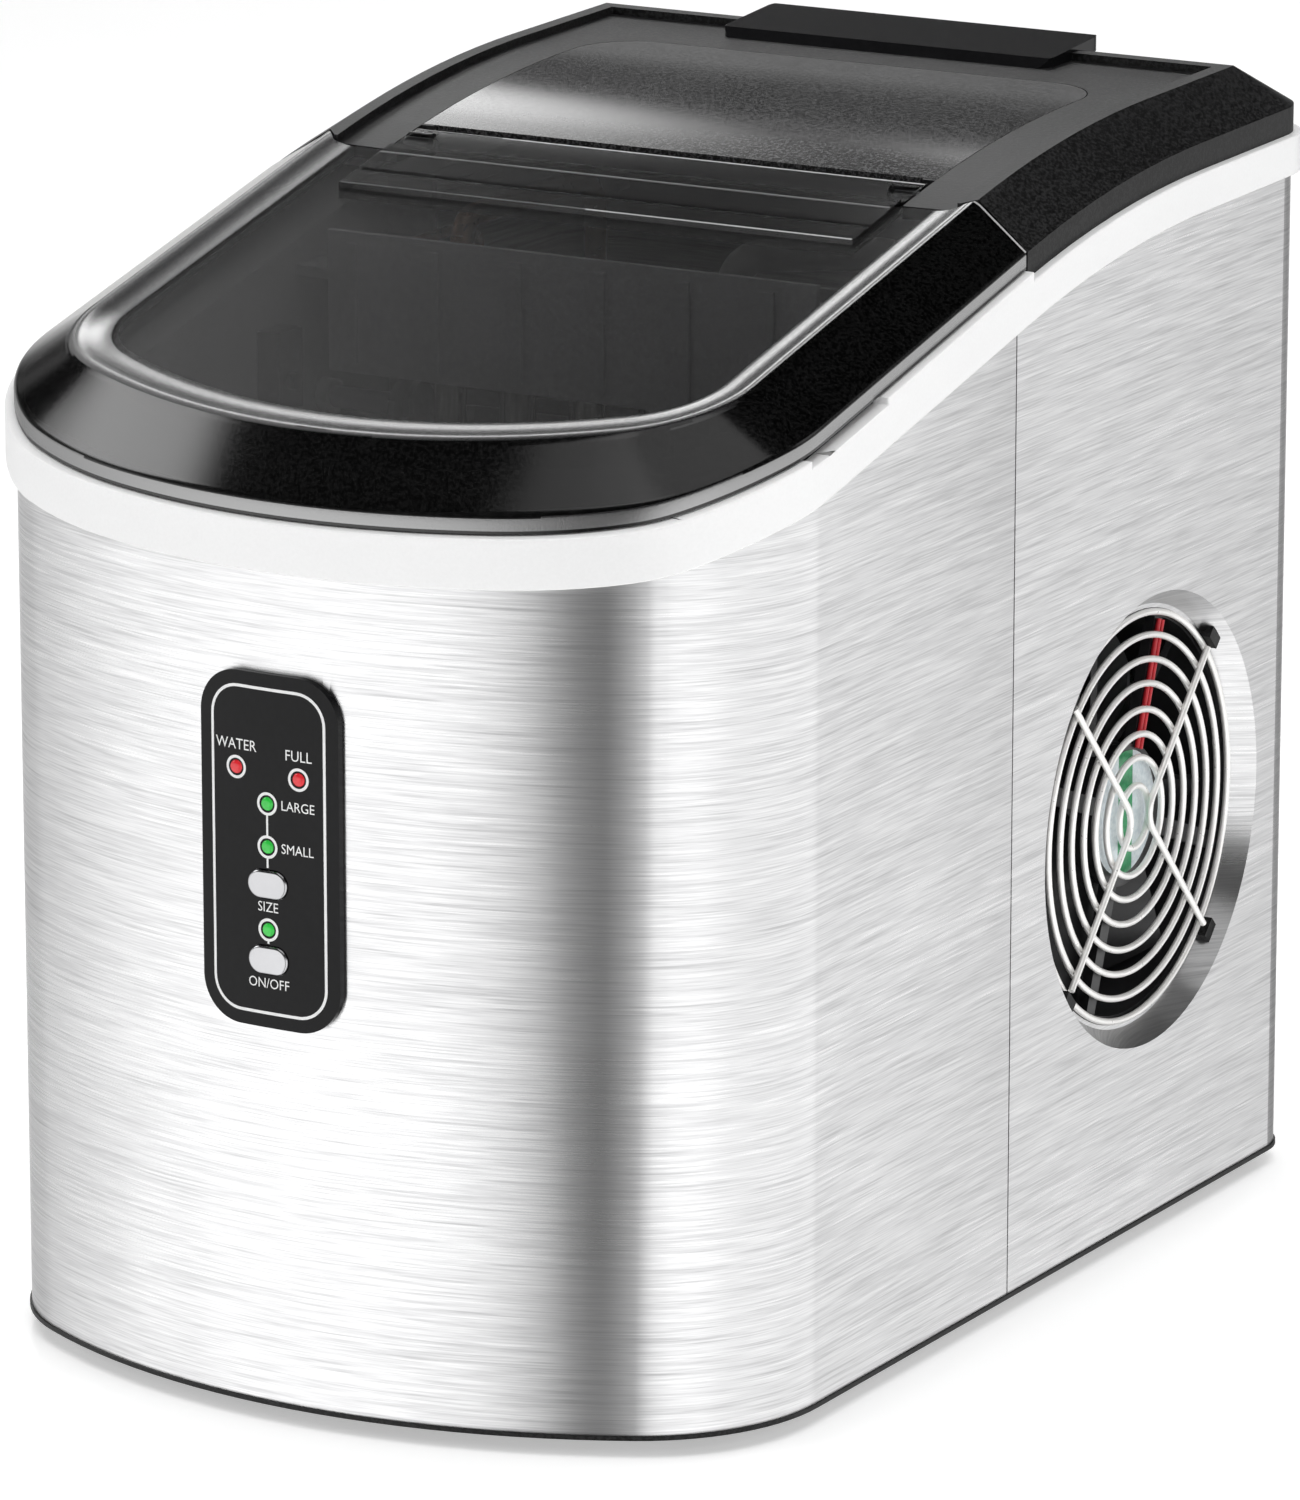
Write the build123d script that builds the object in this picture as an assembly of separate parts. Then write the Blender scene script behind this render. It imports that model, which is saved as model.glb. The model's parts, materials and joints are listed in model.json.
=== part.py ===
"""Countertop bullet ice maker: steel-shelled cabinet, sloping smoked lid, side fan and its ice works.

Millimetres. +X is right seen from the front, +Y runs to the back, +Z up.
The origin is the centre of the footprint on the worktop.
"""
from build123d import *
import os
from math import cos, radians, sin, sqrt

os.makedirs("parts", exist_ok=True)

# ---------------------------------------------------------------- driving dimensions
half_width = 118.0            # steel shell, centre plane to side
half_length = 176.0           # steel shell, centre to front or back
front_radius = 188.0          # bow of the front panel
front_corner_radius = 53.2
rear_corner_radius = 16.7
steel_bottom = 6.0            # lower edge of the steel above the worktop
steel = 1.0                   # sheet thickness
seam_y = 0.6                  # joint between the front and rear shells
seam_gap = 0.6

lid_slope = 0.237             # rise of the lid per unit of depth
lid_line_z = 274.3            # height of the sloping base line above the origin
crest_y, crest_z = 53.4, 286.95     # where the slope turns into the nearly level rear
crest_radius = 497.0
rear_line_z = 289.9           # base line at the far end of the construction line
line_end = 200.0              # construction lines run this far to front and back
brow_y, brow_z = -158.0, 232.1      # front dip of the trim band
rise_y, rise_z = -134.0, 242.5
front_line_z = 227.7

band_overhang = 3.0           # white band stands this far outside the steel
band_height = 13.3
band_rear_height = 11.0
cap_overhang = 0.5            # black cap outside the steel
ridge_rise = 29.1             # ridge of the cap above the base line
chamfer_run, chamfer_drop = 17.0, 10.6
inner_rise = 23.4             # underside of the cap above the base line
inner_wall = 2.0
inner_run, inner_drop = 14.0, 8.0
rim_depth = 2.2               # top faces lie this far below the ridge
rim_inset = 27.5              # inner edge of the lid's raised rim, from the steel
cover_rim_inset = 21.0        # the same on the rear cover
lift_gap = 0.3                # air between pieces of different bodies

tongue_half = 80.0            # lid tongue between the two hinge ears
tongue_rear = 20.2
tongue_front = -21.0
ear_front = 4.4
ear_ridge_y = 8.4
hinge_y, hinge_z = 15.5, 302.8
pin_radius = 1.6
running_gap = 0.05

panel_half = 80.8
cover_panel_front, cover_panel_rear = 24.0, 125.0
panel_ledge_rise = 24.9
badge_half, badge_corner = 52.9, 6.0

panel_centre_x, panel_centre_z = -4.2, 155.75
panel_width, panel_height, panel_corner = 42.4, 94.5, 12.0
panel_proud = 2.0
button_width, button_height = 12.0, 7.6
button_proud = 2.8
button_x = -4.3
size_button_z, power_button_z = 147.1, 126.8
board_front = -168.0
warning_lamps = [(-13.9, 177.2), (5.3, 176.2)]
status_lamps = [(-4.3, 168.6), (-4.3, 157.1), (-4.3, 134.9)]

fan_y, fan_z = 84.0, 120.2
dish_outer, dish_floor_radius, dish_depth = 64.0, 59.6, 6.3
guard_radii = [57.3, 50.9, 44.1, 37.3, 30.1, 23.2, 16.6, 8.8]
guard_wire = 0.95
guard_x = 112.1               # plane of the ring centres
fan_side = 120.0
fan_front_x = 110.7
fan_depth = 25.0
fan_bore = 56.0
rotor_radius = 54.8
hub_radius = 20.0
fan_back_x = fan_front_x - fan_depth
fan_hub_x = fan_front_x - 1.5     # outer face of the fixed hub
strut_turns = (-20, 70, 160, 250)

vent_x0, vent_x1, vent_z0, vent_z1 = -86.0, 34.0, 60.0, 190.0
gland_x, gland_z = 82.0, 34.0
screw_radius = 1.5
screw_places = [(-104, 262), (104, 262), (-104, 34), (104, 34), (-104, 140), (64, 140), (0, 262)]

tub_inset, tub_wall = 26.0, 2.5
tub_rear = 22.0
tub_floor, tub_step = 62.0, 100.0
sump_inset = 33.5
basket_inset = 30.0
basket_rear = -50.0
basket_top = 224.0
works_y, works_z = -14.0, 236.0     # shared axis of the water tray and the ice shovel
tray_radius = 31.0
tray_half = 60.0
shovel_radius = 58.0
chute_radius = 60.5
finger_radius = 4.5
finger_tip = 24.0             # finger tips below the works axis
shield_half, shield_low, shield_high = 76.0, 248.0, 287.0

drain_x, drain_y = 60.0, -70.0
pump_x, pump_y = 34.0, 0.0

compressor_x, compressor_y = -30.0, 112.0
compressor_radius, compressor_height = 50.0, 128.0
compressor_foot_z = 22.0
compressor_top = compressor_foot_z + compressor_height
condenser_x0, condenser_x1 = 50.0, 72.0
drier_x, drier_y, drier_low, drier_high = 30.0, 36.0, 60.0, 120.0
pan_top = 12.0


# ---------------------------------------------------------------- shared construction
def plan(side, front=None, rear=None):
    """Cabinet outline, moved inwards by side, front and rear."""
    front = side if front is None else front
    rear = side if rear is None else rear
    hw = half_width - side
    front_y = front - half_length
    rear_y = half_length - rear
    rf = front_radius - front
    rc = front_corner_radius - (side + front) / 2
    rr = max(rear_corner_radius - (side + rear) / 2, 0.5)
    reach = rf - rc
    bow_y = front_y + rf
    kx = (hw - rc) / reach
    ky = -sqrt(1 - kx ** 2)
    corner_y = bow_y + ky * reach
    bisect = sqrt((1 + kx) ** 2 + ky ** 2)
    middle = (hw - rc + rc * (1 + kx) / bisect, corner_y + rc * ky / bisect)
    cut = rr * (1 - sqrt(0.5))
    bow = ThreePointArc((-kx * rf, bow_y + ky * rf), (0, front_y), (kx * rf, bow_y + ky * rf))
    right = [
        ThreePointArc((kx * rf, bow_y + ky * rf), middle, (hw, corner_y)),
        Line((hw, corner_y), (hw, rear_y - rr)),
        ThreePointArc((hw, rear_y - rr), (hw - cut, rear_y - cut), (hw - rr, rear_y)),
    ]
    left = [mirror(edge, about=Plane.YZ) for edge in right]
    back = Line((hw - rr, rear_y), (rr - hw, rear_y))
    return make_face([bow, back] + right + left)


def prism(side, low, high, front=None, rear=None):
    return extrude(Pos(0, 0, low) * plan(side, front, rear), high - low)


def ring(outer, inner, low, high):
    return prism(outer, low, high) - prism(inner, low - 1, high + 1)


def below_line(points, radii, rise):
    """Everything under a side-view line that is lifted by rise."""
    lifted = [(y, z + rise) for y, z in points]
    top = FilletPolyline(*lifted, radius=radii)
    rest = Polyline(lifted[-1], (lifted[-1][0], -20), (lifted[0][0], -20), lifted[0])
    return extrude(Plane.YZ * make_face(top + rest), 140, both=True)


def below_band(rise):
    line = [(-line_end, front_line_z), (brow_y, brow_z), (rise_y, rise_z)]
    line += [(crest_y, crest_z), (line_end, rear_line_z)]
    return below_line(line, [70.0, 150.0, crest_radius], rise)


def below_ridge(rise):
    line = [(-line_end, lid_line_z - lid_slope * line_end), (crest_y, crest_z), (line_end, rear_line_z)]
    return below_line(line, [crest_radius], rise)


def block(x0, x1, y0, y1, z0, z1):
    return Pos((x0 + x1) / 2, (y0 + y1) / 2, (z0 + z1) / 2) * Box(x1 - x0, y1 - y0, z1 - z0)


def rod_x(x0, x1, y, z, radius):
    return Pos((x0 + x1) / 2, y, z) * Rot(0, 90, 0) * Cylinder(radius, x1 - x0)


def rod_y(x, y0, y1, z, radius):
    return Pos(x, (y0 + y1) / 2, z) * Rot(90, 0, 0) * Cylinder(radius, y1 - y0)


def rod_z(x, y, z0, z1, radius):
    return Pos(x, y, (z0 + z1) / 2) * Cylinder(radius, z1 - z0)


def tube(points, bends, radius, bore=0.0):
    """Round pipe along straight runs joined by arcs."""
    path = FilletPolyline(*points, radius=bends)
    start = Plane(path @ 0, z_dir=path % 0)
    pipe = sweep(start * Circle(radius), path=path)
    if bore:
        pipe -= sweep(start * Circle(bore), path=path)
    return pipe


def cap(side, rise, run, drop):
    """Solid under the sloping top with its chamfered shoulder."""
    body = prism(side, 200, 340) & below_ridge(rise)
    curved = body.edges().filter_by(GeomType.LINE, reverse=True)
    front = [edge for edge in curved.sort_by(lambda e: e.center().Y) if edge.center().Z > 210][0]
    tops = [face for face in body.faces() if face.normal_at(face.center()).Z > 0.5]
    top = [face for face in tops if any(front.is_same(edge) for edge in face.edges())][0]
    return chamfer(front, length=run, length2=drop, reference=top)


def cap_shell():
    return cap(-cap_overhang, ridge_rise, chamfer_run, chamfer_drop) - cap(
        inner_wall, inner_rise, inner_run, inner_drop)


def seam_region(gap):
    """Plan area in front of the lid seam, moved back by gap."""
    half = [(tongue_half + gap, tongue_rear + 4 * gap), (tongue_half + gap, ear_front + gap)]
    half += [(98.0, ear_front + 0.6 + gap), (101.5, ear_ridge_y + gap), (118.5, ear_front + gap)]
    half += [(140.0, ear_front + gap), (140.0, -200.0)]
    outline = half + [(-x, y) for x, y in reversed(half)]
    return extrude(Pos(0, 0, 190) * make_face(Polyline(*outline, close=True)), 150)


def write(node, shape):
    export_step(shape, f"parts/{node}.step")


# ---------------------------------------------------------------- cabinet shells
def half_shell(y0, y1):
    sheet = ring(0, steel, steel_bottom, 320) & below_band(0)
    return sheet & block(-130, 130, y0, y1, 0, 330)


def front_shell():
    window = panel_outline(-4.5)
    return half_shell(-190, seam_y - seam_gap / 2) - window


def dish_profile():
    """Half section of the pressed fan dish, x against radius."""
    floor_x = half_width - dish_depth
    outline = [(half_width, dish_outer + 1.2), (half_width, dish_outer), (floor_x, dish_floor_radius)]
    outline += [(floor_x, 58.4), (floor_x - steel, 58.4), (floor_x - steel, dish_floor_radius + 0.4)]
    outline += [(half_width - steel, dish_outer + 1.2)]
    return Polyline(*[(x, radius) for x, radius in outline], close=True)


def rear_shell():
    sheet = half_shell(seam_y + seam_gap / 2, 190)
    sheet -= rod_x(100, 130, fan_y, fan_z, dish_outer + 0.6)
    dish = revolve(make_face(dish_profile()), axis=Axis.X)
    sheet += Pos(0, fan_y, fan_z) * dish
    sheet -= block(vent_x0 - 1, vent_x1 + 1, 170, 180, vent_z0 - 1, vent_z1 + 1)
    for x, z in screw_places:
        sheet -= rod_y(x, 170, 180, z, screw_radius)
    return sheet - rod_y(gland_x, 170, 180, gland_z, 8.2)


def rear_vent():
    """Slatted plastic grille in the back of the rear shell."""
    y0, y1 = half_length - 3.0, half_length + 1.6
    grille = block(vent_x0 - 4, vent_x1 + 4, half_length, y1, vent_z0 - 4, vent_z1 + 4)
    grille += block(vent_x0 - 0.9, vent_x1 + 0.9, y0, half_length, vent_z0 - 0.9, vent_z1 + 0.9)
    pitch, slot = 8.0, 4.6
    count = int((vent_z1 - vent_z0) / pitch)
    middle = (vent_x0 + vent_x1) / 2
    for index in range(count):
        z = vent_z0 + pitch * (index + 0.5)
        for x0, x1 in ((vent_x0 + 3, middle - 2), (middle + 2, vent_x1 - 3)):
            grille -= block(x0, x1, y0 - 1, y1 + 1, z - slot / 2, z + slot / 2)
    return grille


def trim_band():
    band = ring(-band_overhang, 2.2, 200, 330) & below_band(band_height)
    band -= below_band(0)
    band -= block(-130, 130, ear_front + 0.4, 190, 200, 340) - below_band(band_rear_height)
    skirt = (ring(steel + 0.1, 3.0, 200, 330) & below_band(0.0)) - below_band(-8.0)
    band += skirt
    notch = (block(100, 130, -114, -75, 200, 330) - below_band(band_height - 1.8))
    return band - notch - mirror(notch, about=Plane.YZ)


def base_pan():
    pan = prism(steel + 0.1, steel_bottom + 0.6, pan_top)
    pan -= prism(4.0, pan_top - 3.0, pan_top + 1)
    pan += ring(-0.6, steel + 0.1, steel_bottom - 1.2, steel_bottom)
    pan += ring(steel + 0.1, 3.0, steel_bottom - 1.2, 24)
    return pan - rod_z(drain_x, drain_y, 0, 30, 11.3)


def rubber_feet():
    feet = [rod_z(x, y, 0, steel_bottom + 0.6, 9.0) for x in (-92, 92) for y in (-120, 150)]
    return Compound(children=feet)


def drain_cap():
    """Screw plug in the drain neck, with a coin slot underneath."""
    cap_disc = rod_z(drain_x, drain_y, 2.2, 4.9, 11.0) + rod_z(drain_x, drain_y, 4.9, 16, 6.93)
    return cap_disc - block(drain_x - 8, drain_x + 8, drain_y - 1, drain_y + 1, 2, 3.6)


# ---------------------------------------------------------------- lid and cover
def lid_region(shape):
    return shape & seam_region(0)


def lid_frame():
    frame = lid_region(cap_shell()) - below_band(band_height + lift_gap)
    opening = prism(rim_inset, 200, 340) & block(-130, 130, -190, 60, 200, 340)
    return frame - opening - block(-tongue_half, tongue_half, tongue_front, 60, 200, 340)


def glazing(rise, thickness):
    return below_ridge(rise) - below_ridge(rise - thickness)


def lid_window():
    sheet = prism(rim_inset, 200, 340) & glazing(ridge_rise - rim_depth, 3.0)
    return lid_region(sheet) - block(-tongue_half, tongue_half, tongue_front, 60, 200, 340)


def lid_hinge_bar():
    """Rear flap of the lid with its steps and the two hinge knuckles."""
    span = block(-tongue_half, tongue_half, tongue_front, tongue_rear, 200, 340)
    bar = span & glazing(ridge_rise - 0.8, 4.4)
    bar -= block(-90, 90, -12.0, -10.4, 200, 340) - below_ridge(ridge_rise - 1.6)
    bar -= block(-90, 90, 6.0, 30, 200, 340) - below_ridge(ridge_rise - 2.0)
    for side in (-1, 1):
        x0, x1 = sorted((side * 72.0, side * (tongue_half - 0.6)))
        bar += rod_x(x0, x1, hinge_y, hinge_z, 3.1)
        bar -= rod_x(x0 - 1, x1 + 1, hinge_y, hinge_z, pin_radius + running_gap)
    return bar


def lid_hinge_pins():
    ends = [rod_x(73.0, 88.0, hinge_y, hinge_z, pin_radius)]
    ends.append(rod_x(-88.0, -73.0, hinge_y, hinge_z, pin_radius))
    return Compound(children=ends)


def top_cover():
    cover = cap_shell() - seam_region(0.8) - below_band(band_rear_height)
    cover -= prism(cover_rim_inset, 200, 340) - below_ridge(ridge_rise - rim_depth)
    cover -= cover_opening(panel_half, cover_panel_front, cover_panel_rear) - below_ridge(panel_ledge_rise)
    cover -= cover_opening(panel_half - 4, cover_panel_front - 10, cover_panel_rear - 4)
    for side in (-1, 1):
        x0, x1 = sorted((side * (tongue_half + 0.8), side * 90.0))
        boss = block(x0, x1, hinge_y - 5, hinge_y + 6, hinge_z - 5, hinge_z + 3)
        cover += boss & below_ridge(ridge_rise - rim_depth)
        inner, outer = sorted((side * (tongue_half + 0.8), side * 88.0))
        cover -= rod_x(inner, outer, hinge_y, hinge_z, pin_radius)
    return cover


def cover_opening(half, front, rear):
    face = make_face(Polyline((-half, front), (half, front), (half, rear), (-half, rear), close=True))
    face = fillet([v for v in face.vertices() if v.Y > 100], 18.0)
    return extrude(Pos(0, 0, 200) * face, 140)


def cover_panel():
    """Flat inlaid panel in the middle of the top cover."""
    plate = cover_opening(panel_half - 0.25, cover_panel_front + 0.3, cover_panel_rear - 0.25)
    return (plate & below_ridge(ridge_rise - rim_depth)) - below_ridge(panel_ledge_rise)


def badge_bar():
    """Plain raised bar at the back edge of the cover."""
    rise = [(139.4, 315.0), (142.7, 318.3), (171.5, 320.6), (174.5, 318.4), (174.5, 300.0), (139.4, 300.0)]
    bar = extrude(Plane.YZ * make_face(Polyline(*rise, close=True)), badge_half, both=True)
    ends = Pos(0, (139.4 + 174.5) / 2, 290) * RectangleRounded(2 * badge_half, 174.5 - 139.4, badge_corner)
    bar &= extrude(ends, 40)
    bar -= cap(-cap_overhang, ridge_rise, chamfer_run, chamfer_drop) - prism(cover_rim_inset, 200, 340)
    return bar - below_ridge(ridge_rise - rim_depth)


# ---------------------------------------------------------------- control panel
def panel_outline(grow):
    outline = RectangleRounded(panel_width + 2 * grow, panel_height + 2 * grow, panel_corner + grow)
    return Pos(panel_centre_x, -150, panel_centre_z) * Rot(90, 0, 0) * extrude(outline, 40)


def oval(x, z, width, height, y0, y1):
    shape = SlotOverall(width, height)
    return Pos(x, y1, z) * Rot(90, 0, 0) * extrude(shape, y1 - y0)


def control_bezel():
    bezel = (prism(-panel_proud, 80, 220) - prism(0, 70, 230)) & panel_outline(0)
    rim = (prism(0, 80, 220) - prism(3.0, 70, 230)) & (panel_outline(-4.7) - panel_outline(-6.5))
    bezel += rim
    for x, z in warning_lamps + status_lamps:
        bezel -= rod_y(x, -190, -160, z, 1.85)
    for z in (size_button_z, power_button_z):
        bezel -= oval(button_x, z, button_width + 0.4, button_height + 0.4, -190, -160)
    return bezel


def button(z):
    """Oval key with a flange that keeps it behind the bezel."""
    face_y = -half_length - button_proud
    key = oval(button_x, z, button_width, button_height, face_y, -172.0)
    key = fillet(key.faces().sort_by(Axis.Y)[0].edges(), 0.8)
    return key + oval(button_x, z, button_width + 3, button_height + 3, -175.2, -173.8)


def lamps(places):
    return Compound(children=[rod_y(x, -half_length - panel_proud - 0.3, board_front, z, 1.8)
                              for x, z in places])


def display_board():
    board = block(-22, 14, board_front, board_front + 1.6, 112, 200)
    for x, z in ((-14, 121), (6, 121), (-14, 191), (6, 191)):
        board += rod_y(x, board_front - 7.0, board_front, z, 2.2)
    return board


def tact_switches():
    switches = []
    for z in (size_button_z, power_button_z):
        body = block(button_x - 3, button_x + 3, board_front - 2.2, board_front, z - 3, z + 3)
        switches.append(body + rod_y(button_x, board_front - 2.8, board_front - 2, z, 1.7))
    return Compound(children=switches)


# ---------------------------------------------------------------- fan and guard
def guard_bend(side):
    """One bent wire across the guard rings, from rim to rim past the middle."""
    reach = 56.6 * sqrt(0.5)
    x = guard_x + guard_wire * 2
    points = [(x, fan_y + side * reach, fan_z + reach), (x, fan_y + side * 3.2, fan_z)]
    points.append((x, fan_y + side * reach, fan_z - reach))
    return tube(points, 7.0, guard_wire)


def fan_guard():
    """Concentric wire rings with two bent wires welded across them."""
    rings = [Pos(guard_x, fan_y, fan_z) * Rot(0, 90, 0) * Torus(radius, guard_wire)
             for radius in guard_radii]
    return Compound(children=rings + [guard_bend(-1), guard_bend(1)])


def guard_clips():
    """Four plastic tabs that grip the guard's outer ring in the dish."""
    floor_x = half_width - dish_depth
    middle = (floor_x + half_width) / 2
    air = Pos(middle, fan_y, fan_z) * Rot(0, 90, 0) * Cone(dish_floor_radius, dish_outer, dish_depth)
    air -= rod_x(90, half_width + 1, fan_y, fan_z, 58.3)
    clips = []
    for turn in (45, 135, 225, 315):
        tab = Pos(0, fan_y, fan_z) * Rot(turn, 0, 0) * block(floor_x, floor_x + 3.4, -3, 3, 55, 64)
        clips.append(tab & air)
    return Compound(children=clips)


def fan_frame():
    frame = Pos((fan_back_x + fan_front_x) / 2, fan_y, fan_z) * Rot(0, 90, 0) * extrude(
        RectangleRounded(fan_side, fan_side, 6.0), fan_depth / 2, both=True)
    frame -= rod_x(fan_back_x - 1, fan_front_x + 1, fan_y, fan_z, fan_bore)
    frame += rod_x(fan_hub_x - 3.0, fan_hub_x, fan_y, fan_z, hub_radius)
    for turn in strut_turns:
        strut = block(fan_hub_x - 3.0, fan_hub_x, -2.5, 2.5, hub_radius - 2, fan_bore + 1)
        frame += Pos(0, fan_y, fan_z) * Rot(turn, 0, 0) * strut
    offset = fan_side / 2 - 7
    for y in (-offset, offset):
        for z in (-offset, offset):
            frame -= rod_x(fan_back_x - 1, fan_front_x + 1, fan_y + y, fan_z + z, 2.2)
    return frame


def fan_axle():
    return rod_x(fan_back_x + 6.0, fan_hub_x - 3.0, fan_y, fan_z, 1.5)


def fan_rotor():
    """Hub cup and seven raked blades behind the fixed hub."""
    x0 = fan_back_x + 1.5
    x1 = fan_hub_x - 3.6
    rotor = rod_x(x0, x1, 0, 0, hub_radius)
    rotor -= rod_x(x1 - 6, x1 + 1, 0, 0, hub_radius - 2.5)
    blades = 7
    middle = (x0 + x1) / 2
    for index in range(blades):
        blade = block(middle - 0.9, middle + 0.9, -13, 13, hub_radius - 1.5, rotor_radius + 3)
        blade = Pos(middle, 0, 0) * Rot(0, 0, 38) * Pos(-middle, 0, 0) * blade
        rotor += Rot(360 / blades * index, 0, 0) * blade
    rotor &= rod_x(x0, x1, 0, 0, rotor_radius)
    rotor -= rod_x(fan_back_x + 5.5, x1 + 1, 0, 0, 1.5 + running_gap)
    return Pos(0, fan_y, fan_z) * rotor


def fan_lead():
    """Pair of leads laid along one strut of the fan."""
    leads = []
    for shift in (-1.1, 1.1):
        lead = rod_z(fan_hub_x + 0.7, shift, hub_radius - 1, fan_bore - 0.6, 0.7)
        leads.append(Pos(0, fan_y, fan_z) * Rot(strut_turns[0], 0, 0) * lead)
    return Compound(children=leads)


# ---------------------------------------------------------------- tub, basket and foam
def tub_prism(inset, low, high, rear):
    return prism(inset, low, high) & block(-130, 130, -190, rear, low, high)


def inner_tub():
    """Stepped liner: ice bin above, water sump below, flange under the lid."""
    tub = tub_prism(tub_inset, tub_step - tub_wall, 330, tub_rear) & below_ridge(14.0)
    tub -= tub_prism(tub_inset + tub_wall, tub_step, 331, tub_rear - tub_wall)
    tub += tub_prism(sump_inset, tub_floor, tub_step, tub_rear)
    tub -= tub_prism(sump_inset + tub_wall, tub_floor + tub_wall, tub_step + 1, tub_rear - tub_wall)
    flange = tub_prism(2.3, 200, 330, tub_rear) & glazing(14.0, 2.0)
    tub += flange - tub_prism(tub_inset + 1, 190, 331, tub_rear - tub_wall)
    tub += rod_z(drain_x, drain_y, 5.2, tub_floor + 0.5, 11.2)
    tub -= rod_z(drain_x, drain_y, 0, tub_floor + 4, 7.0)
    tub -= block(-75, 75, tub_rear - tub_wall - 1, tub_rear + 1, 274, 340)
    for side in (-1, 1):
        tub -= rod_x(min(side * 80, side * 100), max(side * 80, side * 100), works_y, works_z, 5.0)
    return tub


def tub_insulation():
    """Foam jacket round the liner, open where the gear motor sits."""
    foam = tub_prism(4.2, tub_floor, 205, tub_rear - 5)
    foam -= tub_prism(tub_inset, tub_step - tub_wall, 206, tub_rear + 1)
    foam -= tub_prism(sump_inset, tub_floor - 1, tub_step, tub_rear + 1)
    return foam - block(-40, 30, -200, -158, 100, 210)


def ice_basket():
    floor_z = tub_step + lift_gap
    basket = tub_prism(basket_inset, floor_z, basket_top, basket_rear)
    basket -= tub_prism(basket_inset + 2.0, floor_z + 2.5, basket_top + 1, basket_rear - 2.0)
    basket += tub_prism(basket_inset - 1.2, basket_top - 4, basket_top, basket_rear) - tub_prism(
        basket_inset + 1, basket_top - 5, basket_top + 1, basket_rear + 1)
    basket -= block(-70, 70, basket_rear - 10, basket_rear + 5, 178, basket_top + 1)
    notch = Pos(-4, -140, basket_top) * Rot(90, 0, 0) * extrude(RectangleRounded(52, 28, 9), 20)
    basket -= notch
    slot_pitch = 16.0
    for index in range(9):
        x = (index - 4) * slot_pitch
        for y0 in (-138, -110, -82):
            if abs(x) < 60 or y0 > -120:
                basket -= block(x - 2.5, x + 2.5, y0, y0 + 20, floor_z - 1, floor_z + 4)
    for side in (-1, 1):
        for y0 in (-105, -85, -65):
            x0, x1 = sorted((side * 80, side * 95))
            basket -= block(x0, x1, y0 - 4, y0 + 4, 150, 205)
    return basket


# ---------------------------------------------------------------- ice works
def works_sector(outer, inner, x0, x1, start, end):
    """Arc plate about the works axis; angles run from +Y towards +Z."""
    steps = [start + (end - start) * index / 2 for index in range(3)]
    far = [(outer * cos(radians(a)), outer * sin(radians(a))) for a in steps]
    near = [(inner * cos(radians(a)), inner * sin(radians(a))) for a in steps]
    edges = [ThreePointArc(*far), ThreePointArc(*near), Line(far[0], near[0]), Line(far[2], near[2])]
    sector = extrude(Plane.YZ * make_face(edges), x1 - x0)
    return Pos(x0, works_y, works_z) * sector


def water_tray():
    """Trough round the works axis; turning it lets it pass the fingers."""
    tray = works_sector(tray_radius, tray_radius - 2, -tray_half, tray_half, -170, -10)
    for side in (-1, 1):
        x0, x1 = sorted((side * (tray_half - 2), side * tray_half))
        end = works_sector(tray_radius, 0.5, x0, x1, -170, -10)
        tray += end + rod_x(x0, x1, works_y, works_z, 7.0)
    return tray


def tray_shafts():
    return Compound(children=[rod_x(tray_half, 91.0, works_y, works_z, 3.0),
                              rod_x(-108.0, -tray_half, works_y, works_z, 3.0)])


def shaft_bushes():
    bushes = []
    for x0, x1, outer_x0, outer_x1 in ((86, 92, 92, 94), (-92, -86, -94, -92)):
        bush = rod_x(x0, x1, works_y, works_z, 5.0) + rod_x(outer_x0, outer_x1, works_y, works_z, 8.0)
        bushes.append(bush - rod_x(-120, 120, works_y, works_z, 3.0 + running_gap))
    return Compound(children=bushes)


def tray_motor():
    """Synchronous gear motor beside the liner that swings the tray."""
    body = rod_x(-113, -97, works_y + 8, works_z, 22.0)
    body += rod_x(-97, -94.5, works_y, works_z, 9.0)
    for turn in (-1, 1):
        middle = works_z + turn * 20
        body += block(-97, -95.5, works_y + 4, works_y + 12, middle - 8, middle + 8)
    return body - rod_x(-108.3, -90, works_y, works_z, 3.0 + running_gap)


def ice_shovel():
    """Pusher plate on two arms that sweeps cubes along the chute."""
    shovel = block(-56, 56, 34, shovel_radius, -2.2, 0)
    for index in range(8):
        x = -49 + 14 * index
        shovel += block(x - 1, x + 1, 36, shovel_radius, -5.0, -2.0)
    for side in (-1, 1):
        x0, x1 = sorted((side * 62.0, side * 64.5))
        arm = block(x0, x1, -6, shovel_radius - 6, -5, 0) + rod_x(x0, x1, 0, 0, 7.5)
        lug0, lug1 = sorted((side * 55.0, side * 64.5))
        arm += block(lug0, lug1, 42, shovel_radius - 6, -2.2, 0)
        shovel += arm - rod_x(-70, 70, 0, 0, 3.0 + running_gap)
    return Pos(0, works_y, works_z) * Rot(-60, 0, 0) * shovel


def ice_chute():
    """Fixed slotted trough that the shovel sweeps."""
    chute = works_sector(chute_radius + 2.2, chute_radius, -66.5, 66.5, -120, -58)
    for index in range(9):
        x = (index - 4) * 14
        chute -= block(x - 2, x + 2, works_y - 22, works_y + 14, 160, 190)
    for side in (-1, 1):
        x0, x1 = sorted((side * 66.5, side * (half_width - tub_inset - tub_wall)))
        chute += block(x0, x1, works_y - 20, works_y + 20, 178, 181)
        chute += works_sector(chute_radius + 2.2, chute_radius - 8, min(side * 66.5, side * 68.5),
                              max(side * 66.5, side * 68.5), -120, -58)
    return chute


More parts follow.
